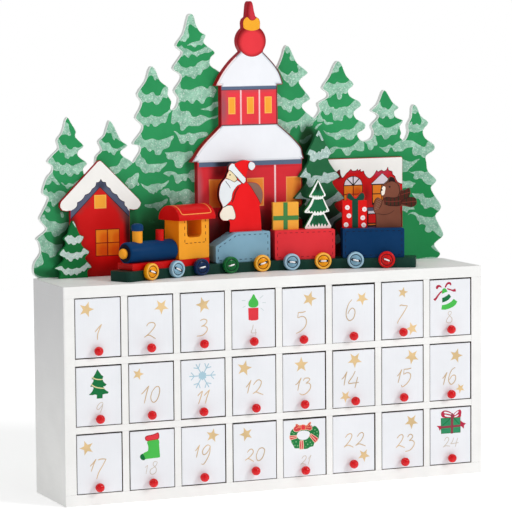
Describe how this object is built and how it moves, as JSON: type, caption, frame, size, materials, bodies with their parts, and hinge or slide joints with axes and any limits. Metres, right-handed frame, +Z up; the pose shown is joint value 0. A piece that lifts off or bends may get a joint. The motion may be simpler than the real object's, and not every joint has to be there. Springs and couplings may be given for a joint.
{
  "type": "wooden advent calendar",
  "caption": "Wooden advent calendar: cabinet of small numbered drawers topped by a cut-out winter forest, town and toy train.",
  "frame": {"origin": "middle of the underside of the cabinet", "axes": "+Z up, +X to the right of someone facing the drawers, drawers open towards -Y"},
  "size_m": [0.4015, 0.0885, 0.4305],
  "materials": {
    "cabinet_white": "satin white paint on wood",
    "back_panel": "white painted thin panel",
    "drawer_white": "satin white painted front, plain plywood tray, glossy red ball knob",
    "forest_green": "satin green paint with pale snow bands",
    "town_red": "satin red paint with painted windows and white snow roofs",
    "pine_green": "satin dark green paint with pale snow edges",
    "strip_green": "satin dark green paint",
    "train_red": "semi gloss red paint",
    "navy": "semi gloss navy paint",
    "yellow": "semi gloss warm yellow paint",
    "grey_blue": "satin grey blue paint",
    "wagon_red": "satin red paint",
    "buttons": "glossy coloured sewing buttons",
    "thread": "white cotton thread",
    "santa_paint": "painted flat figure",
    "gift_yellow": "painted flat parcel",
    "gift_red": "painted flat parcel",
    "bear_brown": "painted flat figure"
  },
  "bodies": {
    "cabinet": {"top_board": "cabinet_white", "bottom_board": "cabinet_white", "left_side": "cabinet_white", "right_side": "cabinet_white", "back_panel": "back_panel", "upper_shelf": "cabinet_white", "lower_shelf": "cabinet_white", "dividers_top_row": "cabinet_white", "dividers_middle_row": "cabinet_white", "dividers_bottom_row": "cabinet_white", "forest_board": "forest_green", "tower_board": "town_red", "house_board": "town_red", "shop_board": "town_red", "big_pine": "pine_green", "small_pine": "pine_green", "track_base": "strip_green", "loco_chassis": "train_red", "boiler": "navy", "headlamp": "yellow", "chimney": "yellow", "chimney_cap": "navy", "steam_peg": "train_red", "cab": "yellow", "cab_roof": "train_red", "tender": "grey_blue", "red_wagon": "wagon_red", "blue_wagon": "navy", "button_wheels": "buttons", "button_threads": "thread", "santa": "santa_paint", "yellow_gift": "gift_yellow", "wagon_tree": "pine_green", "dotted_gift": "gift_red", "bear": "bear_brown"},
    "drawer_01_body": {"drawer_01": "drawer_white"},
    "drawer_02_body": {"drawer_02": "drawer_white"},
    "drawer_03_body": {"drawer_03": "drawer_white"},
    "drawer_04_body": {"drawer_04": "drawer_white"},
    "drawer_05_body": {"drawer_05": "drawer_white"},
    "drawer_06_body": {"drawer_06": "drawer_white"},
    "drawer_07_body": {"drawer_07": "drawer_white"},
    "drawer_08_body": {"drawer_08": "drawer_white"},
    "drawer_09_body": {"drawer_09": "drawer_white"},
    "drawer_10_body": {"drawer_10": "drawer_white"},
    "drawer_11_body": {"drawer_11": "drawer_white"},
    "drawer_12_body": {"drawer_12": "drawer_white"},
    "drawer_13_body": {"drawer_13": "drawer_white"},
    "drawer_14_body": {"drawer_14": "drawer_white"},
    "drawer_15_body": {"drawer_15": "drawer_white"},
    "drawer_16_body": {"drawer_16": "drawer_white"},
    "drawer_17_body": {"drawer_17": "drawer_white"},
    "drawer_18_body": {"drawer_18": "drawer_white"},
    "drawer_19_body": {"drawer_19": "drawer_white"},
    "drawer_20_body": {"drawer_20": "drawer_white"},
    "drawer_21_body": {"drawer_21": "drawer_white"},
    "drawer_22_body": {"drawer_22": "drawer_white"},
    "drawer_23_body": {"drawer_23": "drawer_white"},
    "drawer_24_body": {"drawer_24": "drawer_white"}
  },
  "joints": [
    {"name": "drawer_01_slide", "type": "slide", "parent": "cabinet", "child": "drawer_01_body", "axis": [0, -1, 0], "range_m": [0, 0.062]},
    {"name": "drawer_02_slide", "type": "slide", "parent": "cabinet", "child": "drawer_02_body", "axis": [0, -1, 0], "range_m": [0, 0.062]},
    {"name": "drawer_03_slide", "type": "slide", "parent": "cabinet", "child": "drawer_03_body", "axis": [0, -1, 0], "range_m": [0, 0.062]},
    {"name": "drawer_04_slide", "type": "slide", "parent": "cabinet", "child": "drawer_04_body", "axis": [0, -1, 0], "range_m": [0, 0.062]},
    {"name": "drawer_05_slide", "type": "slide", "parent": "cabinet", "child": "drawer_05_body", "axis": [0, -1, 0], "range_m": [0, 0.062]},
    {"name": "drawer_06_slide", "type": "slide", "parent": "cabinet", "child": "drawer_06_body", "axis": [0, -1, 0], "range_m": [0, 0.062]},
    {"name": "drawer_07_slide", "type": "slide", "parent": "cabinet", "child": "drawer_07_body", "axis": [0, -1, 0], "range_m": [0, 0.062]},
    {"name": "drawer_08_slide", "type": "slide", "parent": "cabinet", "child": "drawer_08_body", "axis": [0, -1, 0], "range_m": [0, 0.062]},
    {"name": "drawer_09_slide", "type": "slide", "parent": "cabinet", "child": "drawer_09_body", "axis": [0, -1, 0], "range_m": [0, 0.062]},
    {"name": "drawer_10_slide", "type": "slide", "parent": "cabinet", "child": "drawer_10_body", "axis": [0, -1, 0], "range_m": [0, 0.062]},
    {"name": "drawer_11_slide", "type": "slide", "parent": "cabinet", "child": "drawer_11_body", "axis": [0, -1, 0], "range_m": [0, 0.062]},
    {"name": "drawer_12_slide", "type": "slide", "parent": "cabinet", "child": "drawer_12_body", "axis": [0, -1, 0], "range_m": [0, 0.062]},
    {"name": "drawer_13_slide", "type": "slide", "parent": "cabinet", "child": "drawer_13_body", "axis": [0, -1, 0], "range_m": [0, 0.062]},
    {"name": "drawer_14_slide", "type": "slide", "parent": "cabinet", "child": "drawer_14_body", "axis": [0, -1, 0], "range_m": [0, 0.062]},
    {"name": "drawer_15_slide", "type": "slide", "parent": "cabinet", "child": "drawer_15_body", "axis": [0, -1, 0], "range_m": [0, 0.062]},
    {"name": "drawer_16_slide", "type": "slide", "parent": "cabinet", "child": "drawer_16_body", "axis": [0, -1, 0], "range_m": [0, 0.062]},
    {"name": "drawer_17_slide", "type": "slide", "parent": "cabinet", "child": "drawer_17_body", "axis": [0, -1, 0], "range_m": [0, 0.062]},
    {"name": "drawer_18_slide", "type": "slide", "parent": "cabinet", "child": "drawer_18_body", "axis": [0, -1, 0], "range_m": [0, 0.062]},
    {"name": "drawer_19_slide", "type": "slide", "parent": "cabinet", "child": "drawer_19_body", "axis": [0, -1, 0], "range_m": [0, 0.062]},
    {"name": "drawer_20_slide", "type": "slide", "parent": "cabinet", "child": "drawer_20_body", "axis": [0, -1, 0], "range_m": [0, 0.062]},
    {"name": "drawer_21_slide", "type": "slide", "parent": "cabinet", "child": "drawer_21_body", "axis": [0, -1, 0], "range_m": [0, 0.062]},
    {"name": "drawer_22_slide", "type": "slide", "parent": "cabinet", "child": "drawer_22_body", "axis": [0, -1, 0], "range_m": [0, 0.062]},
    {"name": "drawer_23_slide", "type": "slide", "parent": "cabinet", "child": "drawer_23_body", "axis": [0, -1, 0], "range_m": [0, 0.062]},
    {"name": "drawer_24_slide", "type": "slide", "parent": "cabinet", "child": "drawer_24_body", "axis": [0, -1, 0], "range_m": [0, 0.062]}
  ]
}
